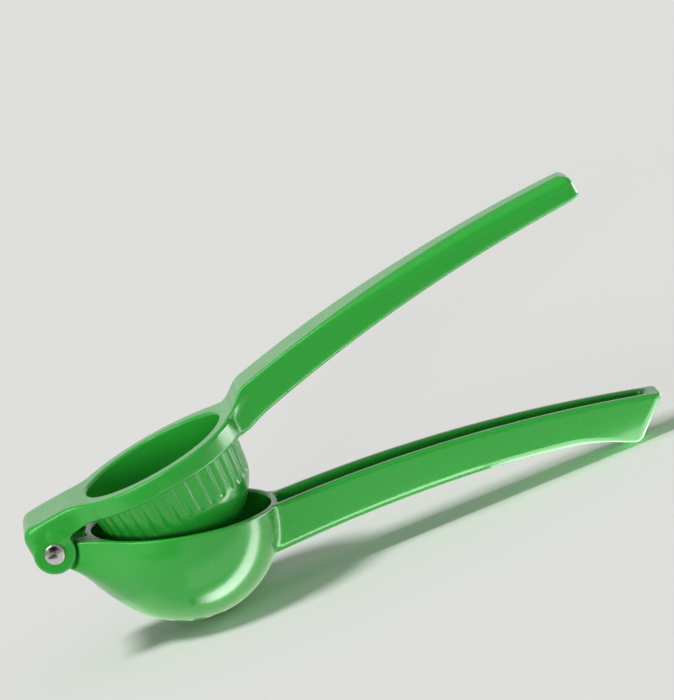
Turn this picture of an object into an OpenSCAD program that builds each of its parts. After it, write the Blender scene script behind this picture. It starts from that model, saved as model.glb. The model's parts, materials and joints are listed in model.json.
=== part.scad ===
// Hinged citrus press: two cast arms that turn on one rivet.
// The strainer arm carries the drilled bowl, and the ram arm carries the hollow fluted cup
// that presses the fruit into it.
// Each arm is drawn in its own frame: the rivet's axis is the origin, +X runs to the end of
// the handle, +Y runs along the rivet and +Z is square to the rim. With both arms at the
// same angle the press is shut.
// The model stands as it does on a table, on the bowl and on the toe of the lower handle,
// with the ram arm held open. Its origin is under the middle of its box. Millimetres.

/* [Strainer bowl] */
// Outside radius of the bowl
bowl_r = 33.2; // [27:0.1:40]
// Thickness of the bowl's wall
bowl_wall = 2.5; // [2:0.1:3.2]
// Straight part of the bowl's side, under the rim
bowl_skirt = 3; // [2:0.1:5]
// Height of the bowl's rim over the rivet's axis
rim_z = 2.5; // [2:0.1:4]
// Diameter of a juice hole
hole_d = 3.6; // [3:0.1:4.2]
// Distance between the rings of juice holes
hole_pitch = 6; // [5:0.1:7]

/* [Ram cup] */
// Space left between cup and bowl for the peel
peel_gap = 2.3; // [1.5:0.1:3.5]
// Thickness of the cup's wall
cup_wall = 2.4; // [2:0.1:3]
// How far the band around the cup lies inside the bowl's outside
band_inset = 1; // [0:0.1:3]
// Height of the band around the cup
band_h = 6.2; // [5:0.1:8]
// Drop from the band's underside to the middle of the round cup
cup_drop = 2.2; // [1:0.1:4]
// Number of flutes around the cup
flute_count = 36; // [24:1:44]
// Depth of a flute
flute_depth = 0.7; // [0.4:0.05:0.9]
// How far the flutes run down from the band
flute_h = 12.5; // [8:0.5:15]

/* [Arms] */
// Distance from the rivet to the near side of the bowl
rivet_reach = 10.8; // [10:0.1:16]
// Distance from the rivet to the end of the handles
arm_length = 212; // [170:1:260]
// Height of the lower handle's top over the rivet, at its end
handle_rise = 16.6; // [10:0.2:24]
// Distance from the handle's end to the highest point of its arch
arch_back = 12; // [5:1:30]
// Width of the handles beside the cup and the bowl
neck_w = 21; // [18:0.5:25]
// Width of the handles at their end
tip_w = 15; // [12:0.5:19]
// Thickness of the handles' side walls
handle_wall = 3.9; // [3:0.1:4.4]
// Thickness of the lower handle's floor and of the upper handle's roof
handle_web = 3.2; // [2.5:0.1:4]
// Thickness of the wall at the end of each handle
end_wall = 5.5; // [4:0.1:7]
// Depth of the lower handle beside the bowl
lower_neck_depth = 16.2; // [14:0.2:19]
// Depth of the lower handle at its end
lower_tip_depth = 11; // [9:0.2:13]
// Depth of the upper handle beside the cup
upper_neck_depth = 12.6; // [10:0.2:15]
// Depth of the upper handle at its end
upper_tip_depth = 9.4; // [8:0.2:11]
// Length of the toe under the end of the lower handle
toe_length = 24; // [16:1:34]
// How far the toe reaches below the handle
toe_drop = 4.6; // [2:0.2:7]
// How far the lower handle's end leans out from toe to top
end_lean = 10; // [0:0.5:12]

/* [Hinge] */
// Diameter of the rivet
rivet_d = 4.8; // [3.6:0.1:5.4]
// Diameter of the rivet's heads
head_d = 7.2; // [6:0.1:9]
// Height of the rivet's heads
head_h = 2; // [1.2:0.1:2.6]
// Width of the ram arm's fork, over both ears
fork_w = 29; // [25:0.5:34]
// Thickness of one ear
ear_wall = 4; // [3:0.1:5]
// Radius of the ears around the rivet
ear_r = 7.2; // [6:0.1:8]
// Radius of the strainer arm's knuckle
knuckle_r = 5.2; // [4.4:0.1:5.4]
// How far the fork's end wall lies behind the rivet
fork_back = 8.2; // [7.6:0.1:10]
// Rounding of the fork's upper back edge
fork_round = 3.8; // [2:0.1:5]
// Thickness of the fork's top plate
fork_plate = 3; // [2.4:0.1:4]
// How far the fork's top lies over the band's top
fork_rise = 1.4; // [0.5:0.1:2]

/* [Clearances] */
// Gap around the rivet in the knuckle
rivet_gap = 0.05; // [0.03:0.01:0.08]
// Gap around the rivet in the ears, and under its heads
ear_gap = 0.02; // [0.01:0.01:0.05]
// Gap between the knuckle and each ear
side_gap = 0.35; // [0.2:0.05:0.6]
// Gap between the turning knuckle and the fork's inside
sweep_gap = 0.5; // [0.3:0.1:0.8]
// Gap between the ears and the shoulders cut around them
shoulder_gap = 1.5; // [1:0.1:2]
// Gap between the fork and the shoulders when the press is shut
stop_gap = 0.5; // [0.3:0.1:1]
// Gap between the cup's band and the bowl's rim when the press is shut
band_gap = 1.2; // [0.6:0.1:2]
// Gap between the two handles beside the cup when the press is shut
grip_neck_gap = 1.8; // [1:0.1:4]
// Gap between the two handles at their ends when the press is shut
grip_tip_gap = 0.6; // [0.4:0.1:3]

/* [Pose] */
// Angle between the arms
open_angle = 19.7; // [0:0.1:100]

/* [Hidden] */

// A small overlap that makes cuts run through, and more than the height of the press
past = 1;
tall = 300;
round_fn = 128;
steps = 28;

// Both arms have the middle of their round part at the same place
cup_x = rivet_reach + bowl_r;

// Bowl, from its rim down
bowl_z = rim_z - bowl_skirt;
bowl_in_r = bowl_r - bowl_wall;

// Cup, from its band down
band_z = rim_z + band_gap;
ring_top = band_z + band_h;
ring_r = bowl_r - band_inset;
cup_r = bowl_in_r - peel_gap;
cup_in_r = cup_r - cup_wall;
cup_z = band_z - cup_drop;

// The fluted part of the cup is a cone that trims the round bottom's sphere between the
// flutes' foot and a place inside the band, and the flutes are round cutters along it
function cup_width(z) = sqrt(pow(cup_r, 2) - pow(z - cup_z, 2));
flute_foot_z = band_z - flute_h;
flute_head_z = band_z + past;
foot_r = cup_width(flute_foot_z);
flute_slope = (cup_width(flute_head_z) - foot_r) / (flute_head_z - flute_foot_z);
flute_r = 1.5;
flute_lean = atan(flute_slope);
flute_top_r = foot_r + flute_slope * flute_h + (flute_r - flute_depth) / cos(flute_lean);
cone_low_z = cup_z - cup_r - past;
cone_top_z = band_z + band_h / 2;

// Fork of the ram arm
fork_top = ring_top + fork_rise;
fork_under = rim_z + stop_gap;
pocket_w = fork_w - 2 * ear_wall;
pocket_r = knuckle_r + sweep_gap;
pocket_back_x = -pocket_r / 2;
// The ring's wall closes the pocket, and the cup's hollow trims the fork inside the ring
pocket_end_x = cup_x - ring_r + past;
fork_end_x = cup_x - cup_in_r + cup_wall;
// The fork's underside reaches the band's underside before the first flute
lift_end_x = cup_x - cup_r - past / 2;
lift_slope = (band_z - fork_under) / (lift_end_x - rivet_reach);
// The fork's end wall stops here, so that the neck can swing under it
web_foot_z = 1;

// Knuckle and neck of the strainer arm
knuckle_w = pocket_w - 2 * side_gap;
shoulder_r = ear_r + shoulder_gap;
// The neck's underside falls towards the bowl, steeply in the middle and less at the shoulders
keel_slope = 0.62;
shoulder_slope = 0.4;
neck_foot_x = rivet_reach + 2 * bowl_wall;
neck_end_x = cup_x - bowl_in_r / 2;

// Where each handle leaves its rim
lower_root_x = cup_x + bowl_r;
upper_root_x = cup_x + ring_r;
// Both handles start inside the wall that they grow from
lower_start_x = lower_root_x - bowl_wall;
upper_start_x = upper_root_x - band_inset - cup_wall;

// The arch of the lower handle's top: a circle through the rim with its highest point
// arch_back before the end
arch_x = arm_length - arch_back;
arch_rise = handle_rise - rim_z;
arch_r = (pow(arch_x - lower_root_x, 2) + pow(arch_rise, 2)) / (2 * arch_rise);

// How far along the handle a place is, from 0 at the bowl to 1 at the end
function along(x) = max(0, (x - lower_root_x) / (arm_length - lower_root_x));
function blend_to(a, b, x) = a + (b - a) * along(x);
function lower_top(x) = handle_rise - arch_r + sqrt(pow(arch_r, 2) - pow(x - arch_x, 2));
function lower_depth(x) = blend_to(lower_neck_depth, lower_tip_depth, x);
function toe_part(x) = max(0, (x - toe_x + toe_length) / toe_length);
function lower_bottom(x) = lower_top(x) - lower_depth(x) - toe_drop * pow(toe_part(x), 2);
toe_x = arm_length - end_lean;

// The ram arm's handle lies over the lower one, with a gap that narrows to the end
function over_lower(x) = lower_top(x) + blend_to(grip_neck_gap, grip_tip_gap, x);
function upper_bottom(x) = min(over_lower(x), band_z + gusset_slope * (x - upper_start_x));
function upper_arch(x) = over_lower(x) + blend_to(upper_neck_depth, upper_tip_depth, x);
function upper_top(x) = min(upper_arch(x), ring_top + riser_slope * (x - riser_x));
gusset_slope = 0.5;
riser_slope = 1.15;
// The riser starts on the ring, and the channel under it starts outside the ring
riser_x = upper_root_x - 2.2;
upper_channel_x = upper_root_x + 9;

// Places between two ends, for the points of an outline
function stations(a, b) = [for (i = [0:steps]) a + (b - a) * i / steps];
function reverse(list) = [for (i = [len(list) - 1:-1:0]) list[i]];

// The resting press touches the table with the bowl and the toe, which sets its tilt
toe_reach = toe_x - cup_x;
toe_height = lower_bottom(toe_x) - bowl_z;
rest_tilt = atan2(toe_height, toe_reach) + asin(bowl_r / norm([toe_reach, toe_height]));
strainer_angle = -rest_tilt;
ram_angle = open_angle - rest_tilt;

// Place in the model's X of a point of an arm, measured from the rivet
function row_x(x, z, angle) = x * cos(angle) - z * sin(angle);
front_x = row_x(arm_length, lower_top(arm_length), strainer_angle);
fork_corner = [fork_round - fork_back, fork_top - fork_round];
back_x = row_x(fork_corner.x, fork_corner.y, ram_angle) - fork_round;
rivet_x = -(front_x + back_x) / 2;
rivet_z = bowl_r + cup_x * sin(rest_tilt) - bowl_z * cos(rest_tilt);

// Places an arm that is drawn around the rivet
module arm(angle) {
    translate([rivet_x, 0, rivet_z]) rotate([0, -angle, 0]) children();
}

// Stretches a side view of an arm, drawn in X and Z, to a width across the arm
module across(width) {
    rotate([90, 0, 0]) linear_extrude(height = width, center = true) children();
}

// A round bar along the rivet's axis
module rivet_bar(radius, width) {
    rotate([90, 0, 0]) cylinder(r = radius, h = width, center = true, $fn = round_fn);
}

// What lies between the two tapered sides of a handle that is inset on each side
module handle_plan(inset) {
    slope = (neck_w - tip_w) / 2 / (arm_length - lower_root_x);
    start_x = cup_x;
    end_x = arm_length + 2 * past;
    start_y = neck_w / 2 + slope * (lower_root_x - start_x) - inset;
    end_y = neck_w / 2 - slope * (end_x - lower_root_x) - inset;
    linear_extrude(height = tall, center = true)
        polygon([[start_x, -start_y], [end_x, -end_y], [end_x, end_y], [start_x, start_y]]);
}

// Side view of the lower handle: its arched top, its leaning end and its toe
module lower_side() {
    polygon(concat(
        [for (x = stations(lower_start_x, arm_length)) [x, lower_top(x)]],
        reverse([for (x = stations(lower_start_x, toe_x)) [x, lower_bottom(x)]])));
}

// Side view of the lower handle's channel, open at the top
module lower_channel_side() {
    top_end_x = arm_length - end_wall;
    lean_share = (lower_tip_depth - handle_web) / (lower_tip_depth + toe_drop);
    foot_end_x = top_end_x - lean_share * end_lean;
    polygon(concat(
        [[top_end_x, handle_rise + past], [lower_start_x, handle_rise + past]],
        [for (x = stations(lower_start_x, foot_end_x))
            [x, lower_top(x) - lower_depth(x) + handle_web]]));
}

// Side view of the upper handle: it rises from the ring and ends square
module upper_side() {
    polygon(concat(
        [for (x = stations(upper_start_x, arm_length)) [x, max(ring_top, upper_top(x))]],
        reverse([for (x = stations(upper_start_x, arm_length)) [x, upper_bottom(x)]])));
}

// Side view of the upper handle's channel, open underneath
module upper_channel_side() {
    end_x = arm_length - end_wall;
    polygon(concat(
        [for (x = stations(upper_channel_x, end_x)) [x, upper_arch(x) - handle_web]],
        reverse([for (x = stations(upper_channel_x, end_x)) [x, upper_bottom(x) - 2 * past]])));
}

// Rings of juice holes in the bottom of the bowl
module juice_holes() {
    for (ring = [0:2])
        for (i = [0:max(1, 6 * ring) - 1])
            rotate(i * 360 / max(1, 6 * ring)) translate([ring * hole_pitch, 0, bowl_z - bowl_r - past])
                cylinder(d = hole_d, h = bowl_r, $fn = 32);
}

// Side view of the neck between the knuckle and the bowl, with an underside that falls
module neck_side(slope) {
    foot_z = -knuckle_r - slope * neck_foot_x;
    polygon([[0, rim_z], [0, -knuckle_r], [neck_foot_x, foot_z], [neck_end_x, foot_z],
             [neck_end_x, rim_z]]);
}

module strainer_arm() {
    color("limegreen") arm(strainer_angle) difference() {
        union() {
            // Bowl
            translate([cup_x, 0, bowl_z]) {
                intersection() {
                    sphere(r = bowl_r, $fn = round_fn);
                    translate([0, 0, -bowl_r]) cube(2 * bowl_r + past, center = true);
                }
                cylinder(r = bowl_r, h = bowl_skirt, $fn = round_fn);
            }
            // Handle
            intersection() {
                across(neck_w + 2 * past) lower_side();
                handle_plan(0);
            }
            // Neck, and its shoulders cut round the ears
            across(knuckle_w) neck_side(keel_slope);
            difference() {
                across(fork_w) neck_side(shoulder_slope);
                for (side = [-1, 1])
                    translate([0, side * (knuckle_w + ear_wall + past) / 2, 0])
                        rivet_bar(shoulder_r, ear_wall + past);
            }
            // Knuckle
            rivet_bar(knuckle_r, knuckle_w);
        }
        // Inside of the bowl
        translate([cup_x, 0, bowl_z]) {
            sphere(r = bowl_in_r, $fn = round_fn);
            cylinder(r = bowl_in_r, h = bowl_skirt + past, $fn = round_fn);
        }
        // Channel of the handle, outside the bowl's wall
        difference() {
            intersection() {
                across(neck_w) lower_channel_side();
                handle_plan(handle_wall);
            }
            translate([cup_x, 0, 0]) cylinder(r = bowl_r, h = tall, center = true, $fn = round_fn);
        }
        translate([cup_x, 0, 0]) juice_holes();
        rivet_bar(rivet_d / 2 + rivet_gap, fork_w);
    }
}

// Side view of the fork, from its end wall to the cup
module fork_side() {
    circle(r = ear_r, $fn = round_fn);
    translate(fork_corner) circle(r = fork_round, $fn = round_fn);
    polygon([[-ear_r, 0], [-fork_back, fork_corner.y], fork_corner, [fork_corner.x, fork_top],
             [rivet_reach, fork_top], [fork_end_x, ring_top - past / 2],
             [fork_end_x, fork_under + lift_slope * (fork_end_x - rivet_reach)],
             [rivet_reach, fork_under], [0, fork_under], [0, 0]]);
}

// Side view of the space in the fork where the knuckle turns
module pocket_side() {
    circle(r = pocket_r, $fn = round_fn);
    translate([pocket_back_x, -tall])
        square([pocket_end_x - pocket_back_x, tall + fork_top - fork_plate]);
    translate([-tall, -tall]) square([tall, tall + web_foot_z]);
}

// One row of straight flutes, which run out of the round bottom a little below their foot
module flutes() {
    for (i = [0:flute_count - 1])
        rotate((i + 0.5) * 360 / flute_count) translate([flute_top_r, 0, band_z])
            rotate([0, flute_lean, 0]) translate([0, 0, -2 * flute_h])
                cylinder(r = flute_r, h = 2 * flute_h + 3 * past, $fn = 32);
}

module ram_arm() {
    color("limegreen") arm(ram_angle) difference() {
        union() {
            // Band, and the cup with its fluted cone, which runs up into the band
            translate([cup_x, 0, 0]) {
                translate([0, 0, band_z]) cylinder(r = ring_r, h = band_h, $fn = round_fn);
                difference() {
                    intersection() {
                        translate([0, 0, cup_z]) sphere(r = cup_r, $fn = round_fn);
                        translate([0, 0, cone_low_z])
                            cylinder(r1 = foot_r + flute_slope * (cone_low_z - flute_foot_z),
                                     r2 = foot_r + flute_slope * (cone_top_z - flute_foot_z),
                                     h = cone_top_z - cone_low_z, $fn = round_fn);
                    }
                    flutes();
                }
            }
            // Handle
            intersection() {
                across(neck_w + 2 * past) upper_side();
                handle_plan(0);
            }
            // Fork
            difference() {
                across(fork_w) fork_side();
                across(pocket_w) pocket_side();
            }
        }
        // Inside of the cup
        translate([cup_x, 0, cup_z]) {
            sphere(r = cup_in_r, $fn = round_fn);
            cylinder(r = cup_in_r, h = ring_top - cup_z + past, $fn = round_fn);
        }
        // Channel of the handle
        intersection() {
            across(neck_w) upper_channel_side();
            handle_plan(handle_wall);
        }
        rivet_bar(rivet_d / 2 + ear_gap, fork_w + 2 * past);
    }
}

// One domed head of the rivet, standing on its ear
module rivet_head() {
    dome_h = 0.7 * head_h;
    dome_r = (pow(head_d / 2, 2) + pow(dome_h, 2)) / (2 * dome_h);
    intersection() {
        translate([0, 0, head_h - dome_r]) sphere(r = dome_r, $fn = round_fn);
        cylinder(d = head_d, h = head_h + past, $fn = round_fn);
    }
}

module hinge_rivet() {
    color("silver") arm(ram_angle) {
        rivet_bar(rivet_d / 2, fork_w + 2 * ear_gap + past);
        for (side = [-1, 1])
            rotate([side * 90, 0, 0]) translate([0, 0, fork_w / 2 + ear_gap]) rivet_head();
    }
}

strainer_arm();
ram_arm();
hinge_rivet();
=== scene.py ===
# %% [markdown]
# # A hinged citrus press in green enamel
#
# The press is two cast aluminium arms and one steel rivet. The lower arm ends in a drilled
# bowl and the upper arm in a hollow, fluted cup that pushes half a fruit into the bowl. Both
# castings are coated with thick, glossy green enamel, which runs smoothly over every edge.
#
# The measured model of the press comes first. It sets where everything is, and the pieces
# made below stand in its place.

import json
import math

import bmesh
import bpy
import numpy as np
from mathutils import Matrix, Vector


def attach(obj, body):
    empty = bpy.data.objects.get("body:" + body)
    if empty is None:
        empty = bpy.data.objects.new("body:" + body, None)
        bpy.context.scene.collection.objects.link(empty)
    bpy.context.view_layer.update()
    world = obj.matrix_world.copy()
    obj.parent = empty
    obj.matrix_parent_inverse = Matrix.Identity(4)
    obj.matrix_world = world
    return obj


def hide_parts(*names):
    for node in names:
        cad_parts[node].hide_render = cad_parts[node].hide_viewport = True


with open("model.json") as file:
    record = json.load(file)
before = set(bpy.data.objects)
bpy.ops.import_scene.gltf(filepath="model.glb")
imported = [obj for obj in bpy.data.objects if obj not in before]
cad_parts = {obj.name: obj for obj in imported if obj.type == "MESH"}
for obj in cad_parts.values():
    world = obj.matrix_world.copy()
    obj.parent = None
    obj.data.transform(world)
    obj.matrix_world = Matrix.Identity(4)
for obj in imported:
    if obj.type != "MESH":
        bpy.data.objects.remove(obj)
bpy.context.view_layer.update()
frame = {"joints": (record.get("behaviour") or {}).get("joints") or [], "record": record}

# %% [markdown]
# ## The camera
#
# The press is seen from beside it, a little from above, through a long lens. It leans in the
# picture, so here the camera is turned about its own axis instead. A camera can be placed by
# where it looks, how far away it is and three angles. That is easier to adjust than a position
# and a rotation, so the angles are given and the matrix is built from them.

# %% Camera
PHOTO_LONG_SIDE_PX = 700
LENS_PX = 4000
SENSOR_MM = 36
CAMERA_AZIMUTH = math.radians(1.47)
CAMERA_ELEVATION = math.radians(12.1)
CAMERA_ROLL = math.radians(21.9)
CAMERA_AIM = Vector((0.0126, 0.0022, 0.0678))
CAMERA_DISTANCE = 1.35


def camera_axes(azimuth, elevation, roll):
    """The camera's right, up and back directions."""
    back = Vector((-math.sin(azimuth) * math.cos(elevation),
                   -math.cos(azimuth) * math.cos(elevation), math.sin(elevation)))
    level_right = Vector((math.cos(azimuth), -math.sin(azimuth), 0))
    level_up = back.cross(level_right)
    right = level_right * math.cos(roll) - level_up * math.sin(roll)
    return right, back.cross(right), back


right, up, back = camera_axes(CAMERA_AZIMUTH, CAMERA_ELEVATION, CAMERA_ROLL)
camera = bpy.data.objects.new("camera", bpy.data.cameras.new("camera"))
camera.data.sensor_width = SENSOR_MM
camera.data.lens = LENS_PX * SENSOR_MM / PHOTO_LONG_SIDE_PX
camera.data.clip_end = 30
camera.matrix_world = Matrix.Translation(CAMERA_AIM + back * CAMERA_DISTANCE) @ Matrix(
    (right, up, back)).transposed().to_4x4()
bpy.context.scene.collection.objects.link(camera)
bpy.context.scene.camera = camera
print("camera at", [round(v, 4) for v in camera.location], "lens", camera.data.lens, "mm")

# %% [markdown]
# ## Sizes
#
# Each arm is easiest to describe in its own frame: the rivet is the origin, X runs to the end
# of the handle, Y runs along the rivet and Z is square to the bowl's rim. These are the real
# sizes in millimetres. Only the rivet's place and the two tilts are read from the frame.

# %% Where the two arms lie
MM = 0.001
hinge = frame["joints"][0]
rivet_at = Vector(hinge["pos_m"])
fruit_seat = next(m for m in frame["record"]["mounts"] if m["name"] == "fruit_seat")
strainer_tilt = -math.atan2(fruit_seat["axis"][0], fruit_seat["axis"][2])
ram_tilt = strainer_tilt - math.radians(hinge["range_deg"][0])
print("rivet at", [round(v / MM, 2) for v in rivet_at], "mm, tilts",
      round(math.degrees(strainer_tilt), 2), round(math.degrees(ram_tilt), 2), "degrees")

# %% Sizes of the bowl, the cup and the arms
round_x = 44
bowl_r, bowl_in_r, bowl_z, rim_z = 33.2, 30.7, -0.5, 2.5
ring_r, band_z, ring_top = 32.2, 3.7, 9.9
cup_r, cup_in_r, cup_z = 28.4, 25.8, 1.5
flute_count, flute_r, flute_cut = 36, 1.5, 0.75
flute_foot_z, flute_head_z, flute_end_z = -8.8, 4.7, -8.2
hole_r, hole_pitch = 1.8, 6.0

arm_length = 212
lower_root_x = round_x + bowl_r
neck_w, tip_w, handle_wall, handle_web, end_wall = 21, 15, 3.9, 3.2, 5.5
handle_rise, arch_back = 16.6, 12
lower_neck_depth, lower_tip_depth = 16.2, 11.0
upper_neck_depth, upper_tip_depth = 12.6, 9.4
toe_length, toe_drop, end_lean = 24, 4.6, 10
grip_neck_gap, grip_tip_gap = 1.8, 0.6

fork_w, ear_wall, ear_r, knuckle_r = 29, 4, 7.2, 5.2
fork_back, fork_plate, fork_under, fork_rise = 7.1, 4.4, 2.8, 1.4
shoulder_r, side_gap, pocket_r = 8.7, 0.35, 5.7
rivet_r, head_r, head_h, rivet_gap, ear_gap = 2.4, 3.6, 2.0, 0.05, 0.02
print("closed press", arm_length + fork_back, "mm long, bowl", 2 * bowl_r, "mm across")

# %% [markdown]
# ## How a casting's soft edges are made
#
# A casting has no sharp edges, and the enamel rounds them further. Bevels on a mesh get into
# trouble where a bowl, a tapered handle and a sloping neck all meet. A signed distance does
# better: a formula gives, for any point, how far outside the metal it is (or how deep inside,
# as a negative number). Two shapes are then joined by one more formula, which also lays a
# round fillet of any radius between them. Cutting and trimming are the same formula with the
# signs turned.


# %% Joining, trimming and carving with round edges
def join(a, b, fillet):
    """Both shapes as one, with a fillet where they meet."""
    return np.maximum(fillet, np.minimum(a, b)) - np.hypot(
        np.maximum(fillet - a, 0), np.maximum(fillet - b, 0))


def trim(a, b, edge):
    """What lies in both shapes, with a rounded edge where their surfaces cross."""
    return -join(-a, -b, edge)


def carve(a, b, edge):
    """The first shape with the second taken out, with a rounded edge around the cut."""
    return trim(a, -b, edge)


print("a fillet of 2 mm fills an inside corner by", round(-float(join(0.0, 0.0, 2.0)), 2), "mm")


# %% Round bottoms, bars across the arm, and sloping lines
def round_bottom(x, y, z, centre_z, radius):
    """A ball whose sides go straight up from its middle, like the outside of the bowl."""
    return np.sqrt((x - round_x) ** 2 + y ** 2 + np.minimum(z - centre_z, 0) ** 2) - radius


def above(z, x, line):
    """How far a point is above a line drawn along the arm, square to it."""
    slope = line(x + 0.5) - line(x - 0.5)
    return (z - line(x)) / np.hypot(1, slope)


def lower_of(a, b, width):
    """The lower of two lines, with the corner between them rounded over a width."""
    return np.minimum(a, b) - np.maximum(width - np.abs(a - b), 0) ** 2 / (4 * width)


def ramp(value, low, high):
    """Goes smoothly from 0 to 1 as a value goes from low to high."""
    t = np.clip((value - low) / (high - low), 0, 1)
    return t * t * (3 - 2 * t)


# %% [markdown]
# ## The lines of the two handles
#
# The top of the lower handle is one long arc that starts at the bowl's rim. The upper handle
# follows the same arc, so that the two lie together in the hand when the press is shut.

# %% Handle lines
arch_x = arm_length - arch_back
arch_rise = handle_rise - rim_z
arch_r = ((arch_x - lower_root_x) ** 2 + arch_rise ** 2) / (2 * arch_rise)
toe_x = arm_length - end_lean


def part_way(x, at_neck, at_tip):
    """A size that changes evenly from the neck of a handle to its tip."""
    along = np.maximum(0, (x - lower_root_x) / (arm_length - lower_root_x))
    return at_neck + (at_tip - at_neck) * along


def lower_top(x):
    return handle_rise - arch_r + np.sqrt(arch_r ** 2 - (x - arch_x) ** 2)


def lower_floor(x):
    return lower_top(x) - part_way(x, lower_neck_depth, lower_tip_depth)


def lower_bottom(x):
    toe = np.maximum(0, (x - toe_x + toe_length) / toe_length)
    return lower_floor(x) - toe_drop * toe ** 2


def over_lower(x):
    return lower_top(x) + part_way(x, grip_neck_gap, grip_tip_gap)


def upper_arch(x):
    return over_lower(x) + part_way(x, upper_neck_depth, upper_tip_depth)


def half_width(x):
    return part_way(x, neck_w / 2, tip_w / 2)


print("arch radius", round(arch_r, 1), "mm, highest point", handle_rise, "mm over the rivet")

# %% [markdown]
# ## The strainer arm
#
# The sides and the underside are joined first, and one line then trims the top of the bowl,
# the neck and the handle together. Had each been trimmed by itself, the fillet formula would
# have raised a bump wherever two flat tops meet. The hollow, the channel, the juice holes and
# the hole for the rivet are carved last.


# %% Strainer arm's handle and channel
def leaning_end(x, z):
    """How far a point is beyond the leaning end of the lower handle."""
    height = lower_top(arm_length) - lower_bottom(toe_x)
    length = math.hypot(height, end_lean)
    return ((x - toe_x) * height - (z - lower_bottom(toe_x)) * end_lean) / length


def full_bottom(x):
    """The handle's underside, a little fuller than the measured one before the toe."""
    fuller_by = 0.6
    return lower_bottom(x) - fuller_by * ramp(x, 150, 185) * (1 - ramp(x, 195, 203))


def lower_handle(x, y, z):
    edge = 3.0 - 1.4 * ramp(x, 175, 195)
    handle = trim(np.abs(y) - half_width(x), -above(z, x, full_bottom), edge)
    handle = trim(handle, leaning_end(x, z), 2.4)
    return trim(handle, lower_root_x - 3 - x, 0.5)


def lower_channel(x, y, z):
    floor = -above(z, x, lambda s: lower_floor(s) + handle_web)
    channel = trim(np.abs(y) - (half_width(x) - handle_wall), floor, 2.4)
    wall_square_to_end = end_wall * 0.84
    channel = trim(channel, leaning_end(x, z) + wall_square_to_end, 2.4)
    return trim(channel, bowl_r - np.hypot(x - round_x, y), 1.5)


# %% Strainer arm's neck and knuckle
def neck(x, y, z):
    across = np.abs(y)
    keel_slope, shoulder_less = 0.62, 0.22
    slope = keel_slope - shoulder_less * ramp(across, 3, fork_w / 2)
    under = (-knuckle_r - slope * x - z) / np.hypot(1, slope)
    shape = trim(across - fork_w / 2, under, 3.5)
    shape = trim(shape, np.maximum(-x, x - (round_x - bowl_r / 2)), 0.5)
    ear_space = trim(np.hypot(x, z) - shoulder_r, knuckle_w / 2 - across, 0.8)
    return carve(shape, ear_space, 0.8)


def knuckle(x, y, z):
    return trim(np.hypot(x, z) - knuckle_r, np.abs(y) - knuckle_w / 2, 0.6)


knuckle_w = fork_w - 2 * ear_wall - 2 * side_gap


# %% Strainer arm's whole shape
def juice_holes(x, y):
    nearest = np.full_like(x, 1e3)
    for ring in range(3):
        for i in range(max(1, 6 * ring)):
            angle = 2 * math.pi * i / max(1, 6 * ring)
            hole_x = round_x + ring * hole_pitch * math.cos(angle)
            hole_y = ring * hole_pitch * math.sin(angle)
            nearest = np.minimum(nearest, np.hypot(x - hole_x, y - hole_y) - hole_r)
    return nearest


def strainer_arm(x, y, z):
    arm = join(round_bottom(x, y, z, bowl_z, bowl_r), lower_handle(x, y, z), 2.0)
    arm = join(arm, neck(x, y, z), 9.0)
    top = above(z, x, lambda s: np.where(s < lower_root_x, rim_z, lower_top(s)))
    rim_edge, handle_more = 0.9, 0.7
    arm = trim(arm, top, rim_edge + handle_more * ramp(x, 76, 90))
    arm = join(arm, knuckle(x, y, z), 1.2)
    arm = carve(arm, round_bottom(x, y, z, bowl_z, bowl_in_r), 0.9)
    arm = carve(arm, lower_channel(x, y, z), 1.1)
    arm = carve(arm, np.maximum(juice_holes(x, y), z), 0.3)
    return carve(arm, np.hypot(x, z) - rivet_r - rivet_gap, 0.3)


# %% [markdown]
# ## The ram arm
#
# The ring and the fork are one plate with soft inside corners, so they are joined as they look
# from above. The handle is joined on next, and then one line trims the top of the fork, the
# ring, the riser and the handle together, as on the strainer arm. The ears, the knuckle's
# pocket and the cup, with its flutes cut by leaning round cutters, come after that. The
# hollows are carved last.


# %% Ram arm's cup
def cup_width(z):
    return math.sqrt(cup_r ** 2 - (z - cup_z) ** 2)


foot_r = cup_width(flute_foot_z)
flute_lean = math.atan((cup_width(flute_head_z) - foot_r) / (flute_head_z - flute_foot_z))


def from_cone(reach, z):
    """How far out of the fluted cone a point is, and how far up along it from its foot."""
    out, up = reach - foot_r, z - flute_foot_z
    c, s = math.cos(flute_lean), math.sin(flute_lean)
    return out * c - up * s, up * c + out * s


def flutes(x, y, z):
    turn = np.arctan2(y, x - round_x) / (2 * math.pi) * flute_count
    off = (turn - np.floor(turn) - 0.5) * 2 * math.pi / flute_count
    reach = np.hypot(x - round_x, y)
    out, up = from_cone(reach * np.cos(off), z)
    below_end = np.minimum(up - (flute_end_z - flute_foot_z), 0)
    return np.sqrt((out + flute_cut - flute_r) ** 2 + (reach * np.sin(off)) ** 2
                   + below_end ** 2) - flute_r


def cup(x, y, z):
    cone = from_cone(np.hypot(x - round_x, y), z)[0]
    shape = trim(round_bottom(x, y, z, cup_z, cup_r), cone, 0.6)
    shape = carve(shape, flutes(x, y, z), 0.3)
    return trim(shape, z - band_z - 1, 0.1)


# %% Ram arm's ring and fork
riser_slope, riser_x, riser_sweep = 1.325, 75.0, 6.5


def riser(x):
    """Leaves the ring's top in a long hollow curve and climbs to the arch."""
    climb = riser_slope * (x - riser_x)
    return ring_top + (climb + np.sqrt(climb ** 2 + riser_sweep ** 2)) / 2


def ram_top(x):
    """One line over the fork, the ring, the riser and the arch."""
    plate = riser(x) + fork_rise * (1 - ramp(x, 9, 21))
    return lower_of(plate, upper_arch(np.maximum(x, lower_root_x)), 2.4)


def plate_under(x):
    lift = fork_under + (band_z - fork_under) * ramp(x, 7, 15)
    return np.where(x < 0, 0, lift)


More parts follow.
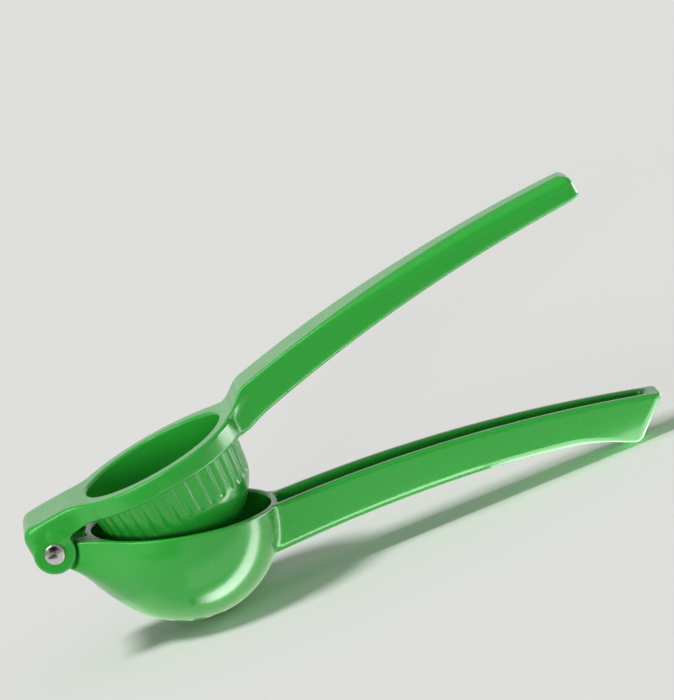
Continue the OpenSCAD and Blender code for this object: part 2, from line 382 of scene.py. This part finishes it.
def pocket(x, y, z):
    """The space in the fork where the knuckle turns."""
    side = np.hypot(x, z) - pocket_r
    front = np.maximum(np.maximum(-pocket_r / 2 - x, x - (round_x - ring_r + 1)),
                       z - (ring_top + fork_rise - fork_plate))
    behind = np.maximum(x, z - 1)
    side = join(join(side, front, 0.8), behind, 0.8)
    return trim(side, np.abs(y) - (fork_w / 2 - ear_wall), 0.8)


def ring_and_fork(x, y, z):
    ring = np.hypot(x - round_x, y) - ring_r
    fork = np.maximum(np.abs(y) - fork_w / 2, x - round_x)
    plate = trim(join(ring, fork, 6.0), -fork_back - x, 4.0)
    return trim(plate, plate_under(x) - z, 0.5 + 0.6 * ramp(x, 8, 16))


def ears(x, y, z):
    return trim(np.hypot(x, z) - ear_r, np.abs(y) - fork_w / 2, 0.8)


# %% Ram arm's handle
def upper_under(x):
    """The handle's underside, which climbs from the band to the shut gap over the lower one."""
    gusset_slope = 0.56
    gusset = band_z + 0.5 + gusset_slope * np.maximum(0, x - lower_root_x)
    return lower_of(gusset, over_lower(np.maximum(x, lower_root_x)), 3.0)


def upper_handle(x, y, z):
    handle = trim(np.abs(y) - half_width(x), -above(z, x, upper_under), 1.8)
    handle = trim(handle, x - arm_length, 2.6)
    return trim(handle, round_x + 18 - x, 0.5)


def upper_channel(x, y, z):
    roof = above(z, x, lambda s: upper_arch(s) - handle_web)
    channel = trim(np.abs(y) - (half_width(x) - handle_wall), roof, 2.0)
    ends = np.maximum(round_x + ring_r + 9 - x, x - (arm_length - end_wall))
    return trim(channel, ends, 2.0)


# %% Ram arm's whole shape
def riser_fillet(z):
    """Between the ring and the handle, and wide only where the riser leaves the ring's top."""
    return 1.8 + 6.0 * ramp(z, 9, 15)


def top_edge(x):
    """How round the top's edges are: most at the fork's back and towards the handle's end."""
    ring_edge, fork_more, back_more, handle_more = 1.2, 1.0, 2.6, 3.3
    return (ring_edge + fork_more * (1 - ramp(x, 8, 22)) + back_more * (1 - ramp(x, -8, 2))
            + handle_more * ramp(x, 95, 165))


def ram_arm(x, y, z):
    arm = join(ring_and_fork(x, y, z), upper_handle(x, y, z), riser_fillet(z))
    arm = trim(arm, above(z, x, ram_top), top_edge(x))
    arm = join(ears(x, y, z), arm, np.clip(x, 0.02, 2.2))
    arm = join(carve(arm, pocket(x, y, z), 0.6), cup(x, y, z), 0.6)
    arm = carve(arm, round_bottom(x, y, z, cup_z, cup_in_r), 1.1)
    arm = carve(arm, upper_channel(x, y, z), 0.9)
    return carve(arm, np.hypot(x, z) - rivet_r - ear_gap, 0.3)


# %% [markdown]
# ## From a distance formula to a mesh
#
# The formula is worked out on a grid of small cells. Every cell that the surface passes
# through gets one point, and every grid edge that crosses the surface gets one quad between
# the four cells around it. This is called surface nets. The points are then evened out and
# pulled exactly onto the surface along the formula's own slope, which also gives each point
# a true normal. Halving the cell gives four times the faces, so the cell is as large as the
# flutes and rims allow.


# %% Surface nets
def surface_net(distance, low, high, cell):
    """Points and quads on the surface of a shape, from a grid of cells."""
    axes = [np.arange(a - 2 * cell, b + 3 * cell, cell) for a, b in zip(low, high)]
    field = distance(*np.meshgrid(*axes, indexing="ij"))
    origin = np.array([a[0] for a in axes])
    cells = tuple(n - 1 for n in field.shape)
    total, count = np.zeros((int(np.prod(cells)), 3)), np.zeros(int(np.prod(cells)))
    rings = []
    for axis in range(3):
        steps = [slice(None)] * 3
        steps[axis] = slice(None, -1)
        here = field[tuple(steps)]
        steps[axis] = slice(1, None)
        there = field[tuple(steps)]
        at = np.argwhere((here < 0) != (there < 0))
        a, b = here[tuple(at.T)], there[tuple(at.T)]
        crossing = at.astype(float)
        crossing[:, axis] += a / (a - b)
        others = [(axis + 1) % 3, (axis + 2) % 3]
        around = []
        for du, dv in ((-1, -1), (0, -1), (0, 0), (-1, 0)):
            cell_at = at.copy()
            cell_at[:, others[0]] += du
            cell_at[:, others[1]] += dv
            index = np.ravel_multi_index(cell_at.T, cells)
            around.append(index)
            for k in range(3):
                total[:, k] += np.bincount(index, crossing[:, k], len(count))
            count += np.bincount(index, minlength=len(count))
        quads = np.stack(around, 1)
        rings.append(np.where((a < 0)[:, None], quads, quads[:, ::-1]))
    used = np.flatnonzero(count)
    points = origin + total[used] / count[used, None] * cell
    number = np.zeros(len(count), int)
    number[used] = np.arange(len(used))
    return points, number[np.concatenate(rings)]


def slope_of(distance, points, step=0.02):
    """The formula's direction of steepest climb at each point."""
    slope = np.empty_like(points)
    for axis in range(3):
        shift = np.zeros(3)
        shift[axis] = step
        ahead, behind = distance(*(points + shift).T), distance(*(points - shift).T)
        slope[:, axis] = (ahead - behind) / (2 * step)
    return slope


def settle(distance, points, cell):
    """Pulls points onto the surface, never more than half a cell at a time."""
    slope = slope_of(distance, points)
    reach = distance(*points.T) / np.maximum((slope ** 2).sum(1), 0.05)
    return points - slope * np.clip(reach, -cell / 2, cell / 2)[:, None]


def even_out(points, quads, share):
    """Moves each point part of the way to the middle of its neighbours."""
    starts, ends = quads.ravel(), np.roll(quads, -1, axis=1).ravel()
    near = np.bincount(starts, minlength=len(points)) + np.bincount(
        ends, minlength=len(points))
    middle = np.stack([
        np.bincount(starts, points[ends, k], len(points))
        + np.bincount(ends, points[starts, k], len(points)) for k in range(3)], 1)
    return points + share * (middle / near[:, None] - points)


# %% Casting a piece from its formula
def place_on_arm(points, tilt):
    """From an arm's own frame in millimetres to the press's frame in metres."""
    c, s = math.cos(tilt), math.sin(tilt)
    turn = np.array([[c, 0, -s], [0, 1, 0], [s, 0, c]])
    return points @ turn.T * MM + np.array(rivet_at)


def cast_piece(name, distance, low, high, cell, tilt):
    points, quads = surface_net(distance, low, high, cell)
    for share in (0.5, 0.4, 0.3, 0.2):
        points = settle(distance, even_out(points, quads, share), cell)
    points = settle(distance, points, cell)
    normals = slope_of(distance, points)
    normals /= np.linalg.norm(normals, axis=1)[:, None]
    mesh = bpy.data.meshes.new(name)
    mesh.from_pydata(place_on_arm(points, tilt), [], quads.tolist())
    mesh.shade_smooth()
    mesh.normals_split_custom_set_from_vertices(
        place_on_arm(normals / MM, tilt) - np.array(rivet_at))
    piece = bpy.data.objects.new(name, mesh)
    bpy.context.scene.collection.objects.link(piece)
    print(name, len(points), "points,", 2 * len(quads), "triangles, furthest from the formula",
          round(float(np.abs(distance(*points.T)).max()), 3), "mm")
    return piece


# %% [markdown]
# ## Casting the two arms
#
# Each arm is cast in a box just larger than itself, because the formula has to be worked out
# millions of times.

# %% Cast both arms
cell = 0.66
strainer = cast_piece("strainer_arm_casting", strainer_arm, (-6, -34, -35), (213, 34, 18),
                      cell, strainer_tilt)
ram = cast_piece("ram_arm_casting", ram_arm, (-9, -33, -28), (213, 33, 29), cell, ram_tilt)

# %% [markdown]
# ## The rivet
#
# The rivet is a steel pin with a domed head on each end, turned on a lathe and polished. A
# turned part is a profile that goes round an axis, so it is made by spinning its half
# outline about the Y axis.

# %% Turn the rivet
RIVET_SIDES = 96


def head_outline():
    """Outline of one head, from the end of the shank outwards, as radius and place along Y."""
    seat = fork_w / 2 + ear_gap
    rim = 0.55
    lip = 0.25
    points = [(rivet_r, seat), (head_r - 0.12, seat), (head_r, seat + 0.12),
              (head_r, seat + rim - lip)]
    dome = head_h - rim
    for i in range(25):
        angle = math.pi / 2 * i / 24
        bulge = head_r - lip + lip * math.cos(angle) if i < 3 else head_r * math.cos(angle)
        points.append((min(bulge, head_r), seat + rim + dome * math.sin(angle) ** 0.9))
    points[-1] = (0, seat + head_h)
    return points


def turn_piece(name, outline, sides, tilt):
    """A mesh of rings around the Y axis, from the far end's outline to the near end's."""
    whole = [(r, -y) for r, y in reversed(outline)] + outline
    turned = bmesh.new()
    rings = []
    for r, y in whole:
        if r == 0:
            rings.append([turned.verts.new((0, y, 0))])
            continue
        rings.append([turned.verts.new((r * math.sin(a), y, r * math.cos(a))) for a in
                      (2 * math.pi * i / sides for i in range(sides))])
    for first, second in zip(rings, rings[1:]):
        for i in range(sides):
            j = (i + 1) % sides
            corners = [first[i % len(first)], first[j % len(first)],
                       second[j % len(second)], second[i % len(second)]]
            turned.faces.new(list(dict.fromkeys(corners)))
    bmesh.ops.recalc_face_normals(turned, faces=turned.faces)
    mesh = bpy.data.meshes.new(name)
    turned.to_mesh(mesh)
    turned.free()
    points = np.array([v.co for v in mesh.vertices])
    mesh.vertices.foreach_set("co", place_on_arm(points, tilt).ravel())
    mesh.shade_smooth()
    mesh.set_sharp_from_angle(angle=math.radians(50))
    piece = bpy.data.objects.new(name, mesh)
    bpy.context.scene.collection.objects.link(piece)
    print(name, len(mesh.vertices), "points")
    return piece


rivet = turn_piece("hinge_rivet_turned", head_outline(), RIVET_SIDES, ram_tilt)

# %% [markdown]
# ## Colours and nodes
#
# Colours are written as they look on a screen, in hex, and turned to the linear values that
# the renderer works with. One small function adds a node, sets its values and joins its
# inputs, so that a material reads like a list of its layers.


# %% Helpers for materials
def linear(hex_colour):
    """A screen colour such as "3FA246" as linear red, green, blue and alpha."""
    values = [int(hex_colour[i:i + 2], 16) / 255 for i in (0, 2, 4)]
    return [v / 12.92 if v <= 0.04045 else ((v + 0.055) / 1.055) ** 2.4 for v in values] + [1]


def add(material, kind, settings=(), values=(), links=()):
    """Adds a node: settings are its own properties, values and links go to its inputs."""
    node = material.node_tree.nodes.new(kind)
    for name, value in dict(settings).items():
        setattr(node, name, value)
    for name, value in dict(values).items():
        node.inputs[name].default_value = value
    for name, source in dict(links).items():
        material.node_tree.links.new(source, node.inputs[name])
    return node


def new_material(name):
    material = bpy.data.materials.new(name)
    material.use_nodes = True
    material.node_tree.nodes.clear()
    return material


# %% [markdown]
# ## Glossy enamel over cast aluminium
#
# The coating is sprayed on as powder and baked, so it flows out glossy with a very faint
# orange peel: soft, shallow dimples one to two millimetres apart. Outside edges are painted a
# little lighter green, partly because the coating is thinner there and partly as a painted
# highlight, like the bright lines that rounded edges catch. The colour drifts slightly over
# some centimetres as well.


# %% Enamel
def green_enamel(name):
    material = new_material(name)
    place = add(material, "ShaderNodeNewGeometry").outputs["Position"]
    drift = add(material, "ShaderNodeTexNoise", values={"Scale": 1 / (45 * MM), "Detail": 2},
                links={"Vector": place})
    tint = add(material, "ShaderNodeMix", {"data_type": "RGBA"},
               {"A": linear("24992F"), "B": linear("2EA338")}, {"Factor": drift.outputs["Fac"]})
    # Outside edges turn lighter green: partly a thinner coat, partly a painted highlight.
    edges = add(material, "ShaderNodeNewGeometry").outputs["Pointiness"]
    thin_coat_and_edge_highlight = add(material, "ShaderNodeMapRange", {"interpolation_type": "SMOOTHSTEP"},
               {"From Min": 0.53, "From Max": 0.6, "To Min": 0, "To Max": 0.4},
               {"Value": edges})
    colour = add(material, "ShaderNodeMix", {"data_type": "RGBA"}, {"B": linear("6CC46A")},
                 {"A": tint.outputs["Result"], "Factor": thin_coat_and_edge_highlight.outputs["Result"]})
    peel = add(material, "ShaderNodeTexNoise", values={"Scale": 1 / (1.6 * MM), "Detail": 1},
               links={"Vector": place})
    smears = add(material, "ShaderNodeTexNoise", values={"Scale": 1 / (9 * MM), "Detail": 3},
                 links={"Vector": place})
    gloss = add(material, "ShaderNodeMapRange",
                values={"To Min": 0.24, "To Max": 0.32}, links={"Value": smears.outputs["Fac"]})
    dimples = add(material, "ShaderNodeBump", values={"Strength": 0.1, "Distance": 0.01 * MM},
                  links={"Height": peel.outputs["Fac"]})
    surface = add(material, "ShaderNodeBsdfPrincipled",
                  values={"IOR": 1.5, "Coat Weight": 0.35, "Coat Roughness": 0.12},
                  links={"Base Color": colour.outputs["Result"],
                         "Roughness": gloss.outputs["Result"],
                         "Normal": dimples.outputs["Normal"]})
    add(material, "ShaderNodeOutputMaterial", links={"Surface": surface.outputs["BSDF"]})
    return material


enamel = green_enamel("gloss_green_enamel_on_cast_aluminium")
print("enamel has", len(enamel.node_tree.nodes), "nodes")

# %% [markdown]
# ## Turned and polished steel
#
# The rivet's heads are bright, with the finest trace of the lathe: rings a tenth of a
# millimetre apart around its axis. That is too fine to show here, so the rings are drawn a
# quarter of a millimetre apart.


# %% Rivet steel
def turned_steel(name):
    material = new_material(name)
    place = add(material, "ShaderNodeNewGeometry").outputs["Position"]
    centred = add(material, "ShaderNodeVectorMath", {"operation": "SUBTRACT"},
                  {1: rivet_at}, {0: place})
    flat = add(material, "ShaderNodeVectorMath", {"operation": "MULTIPLY"}, {1: (1, 0, 1)},
               {0: centred.outputs["Vector"]})
    radius = add(material, "ShaderNodeVectorMath", {"operation": "LENGTH"},
                 links={0: flat.outputs["Vector"]})
    turns = add(material, "ShaderNodeMath", {"operation": "MULTIPLY"},
                {1: 2 * math.pi / (0.25 * MM)}, {0: radius.outputs["Value"]})
    rings = add(material, "ShaderNodeMath", {"operation": "SINE"},
                links={0: turns.outputs["Value"]})
    scratch = add(material, "ShaderNodeBump", values={"Strength": 0.1, "Distance": 0.01 * MM},
                  links={"Height": rings.outputs["Value"]})
    smudge = add(material, "ShaderNodeTexNoise", values={"Scale": 1 / (2.5 * MM), "Detail": 2},
                 links={"Vector": place})
    gloss = add(material, "ShaderNodeMapRange", values={"To Min": 0.16, "To Max": 0.26},
                links={"Value": smudge.outputs["Fac"]})
    surface = add(material, "ShaderNodeBsdfPrincipled",
                  values={"Base Color": linear("D6D4D0"), "Metallic": 1.0},
                  links={"Roughness": gloss.outputs["Result"],
                         "Normal": scratch.outputs["Normal"]})
    add(material, "ShaderNodeOutputMaterial", links={"Surface": surface.outputs["BSDF"]})
    return material


steel = turned_steel("turned_polished_rivet_steel")
for piece, finish in ((strainer, enamel), (ram, enamel), (rivet, steel)):
    piece.data.materials.append(finish)

# %% [markdown]
# ## Putting the pieces on the measured press
#
# Each new piece rides on the body that it moves with and stands in for one piece of the
# measured model.

# %% Ride and replace
for piece, body, node, slot in ((strainer, "strainer", "strainer_arm", "strainer_enamel"),
                                (ram, "ram", "ram_arm", "ram_enamel"),
                                (rivet, "ram", "hinge_rivet", "rivet_steel")):
    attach(piece, body)
    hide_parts(node)
    print(piece.name, "rides on", body, "and stands for", node)

# %% [markdown]
# ## The studio
#
# The press stands on a pale floor. Broad, even light comes from far away, so the floor is lit
# alike everywhere: one light from above, which lets the upper handle shade the lower one, and
# one from the front, low enough to leave the channels dark. Glossy enamel also mirrors
# whatever stands around it, so bright cards are set up where each highlight of the photograph
# comes from, and black ones where the enamel is dark. The cards are only there for
# reflections and light nothing.


# %% Floor and lights
FLOOR_SIZE = 9.0


def flat_piece(name, corners, material):
    """One flat rectangle for the stage."""
    mesh = bpy.data.meshes.new(name)
    mesh.from_pydata(corners, [], [(0, 1, 2, 3)])
    mesh.materials.append(material)
    piece = bpy.data.objects.new(name, mesh)
    bpy.context.scene.collection.objects.link(piece)
    return piece


def make_floor():
    half = FLOOR_SIZE / 2
    pale = new_material("pale_painted_floor")
    surface = add(pale, "ShaderNodeBsdfPrincipled", values={
        "Base Color": linear("E0E0DE"), "Roughness": 1.0, "Specular IOR Level": 0.0})
    add(pale, "ShaderNodeOutputMaterial", links={"Surface": surface.outputs["BSDF"]})
    return flat_piece("floor", [(-half, -half, 0), (half, -half, 0), (half, half, 0),
                                (-half, half, 0)], pale)


def far_light(name, place, width_degrees, strength):
    """Even light from far away, which shows in no reflection."""
    light = bpy.data.objects.new(name, bpy.data.lights.new(name, "SUN"))
    light.rotation_euler = Vector(place).to_track_quat("Z", "Y").to_euler()
    light.data.angle = math.radians(width_degrees)
    light.data.energy = strength
    light.visible_glossy = False
    bpy.context.scene.collection.objects.link(light)
    print(name, strength, "W per square metre,", width_degrees, "degrees wide")


def card(name, corners, strength, colour="FFFFFF", fade=0.0):
    """A card that only reflections show: bright paper, or black at strength 0. Its left end
    can fade away over a share of its length."""
    paper = new_material(name + "_paper")
    glow = add(paper, "ShaderNodeEmission",
               values={"Color": linear(colour), "Strength": strength})
    if fade:
        place = add(paper, "ShaderNodeTexCoord").outputs["Generated"]
        along = add(paper, "ShaderNodeSeparateXYZ", links={"Vector": place})
        level = add(paper, "ShaderNodeMapRange", {"interpolation_type": "SMOOTHSTEP"},
                    {"From Max": fade, "To Max": strength}, {"Value": along.outputs["X"]})
        paper.node_tree.links.new(level.outputs["Result"], glow.inputs["Strength"])
    add(paper, "ShaderNodeOutputMaterial", links={"Surface": glow.outputs["Emission"]})
    paper.cycles.emission_sampling = "NONE"
    piece = flat_piece(name, corners, paper)
    piece.visible_camera = piece.visible_diffuse = piece.visible_shadow = False
    print(name, "strength", strength)


def on_floor(left, right, near_left, far_left, near_right, far_right):
    """Corners of a card that lies just over the floor."""
    return [(left, near_left, CARD_Z), (right, near_right, CARD_Z),
            (right, far_right, CARD_Z), (left, far_left, CARD_Z)]


def standing(start, end, low, high):
    """Corners of a card that stands upright between two places on the floor."""
    return [(*start, low), (*end, low), (*end, high), (*start, high)]


CARD_Z = 0.0006
make_floor()
far_light("light_above", (-0.45, -0.05, 1.0), 14, 2.1)
far_light("light_front", (-0.35, -1.0, 0.08), 16, 1.7)
card("card_under_bowl", on_floor(-0.068, 0.045, -0.0275, -0.0225, -0.034, -0.013), 8.0,
     fade=0.12)
card("card_behind_bowl", on_floor(-0.10, 0.05, -0.0252, 0.07, -0.0124, 0.07), 1.3,
     colour="D0F0C8")
card("card_under_handle", on_floor(0.046, 0.118, -0.026, 0.001, -0.026, 0.001), 6)
card("card_front", on_floor(-0.07, 0.03, -0.06, -0.035, -0.06, -0.035), 1.25)
card("card_floor_right", on_floor(0.12, 0.30, -0.09, 0.09, -0.09, 0.09), 4)
card("card_right", standing((0.60, -0.05), (0.43, 0.20), 0.0, 0.15), 10)
card("card_far_right", standing((0.43, 0.20), (0.32, 0.36), 0.0, 0.15), 3)
card("card_back", standing((-0.8, 1.2), (0.8, 1.2), 0.1, 0.5), 0.75)
card("card_above", [(-1.1, -0.4, 1), (-0.2, -0.4, 1), (-0.2, 0, 1), (-1.1, 0, 1)], 5)
card("black_card_floor", on_floor(-0.09, 0.5, -0.75, -0.26, -0.75, -0.26), 0)
card("black_card_left", on_floor(-0.25, -0.09, -0.75, -0.11, -0.75, -0.11), 0)
card("black_card_front", standing((-0.45, -0.9), (0.35, -0.9), 0.08, 0.95), 0)

world = bpy.data.worlds.new("studio")
bpy.context.scene.world = world
world.use_nodes = True
world.node_tree.nodes["Background"].inputs["Color"].default_value = linear("F2F2F0")
world.node_tree.nodes["Background"].inputs["Strength"].default_value = 0.38
bpy.context.scene.view_settings.view_transform = "Standard"
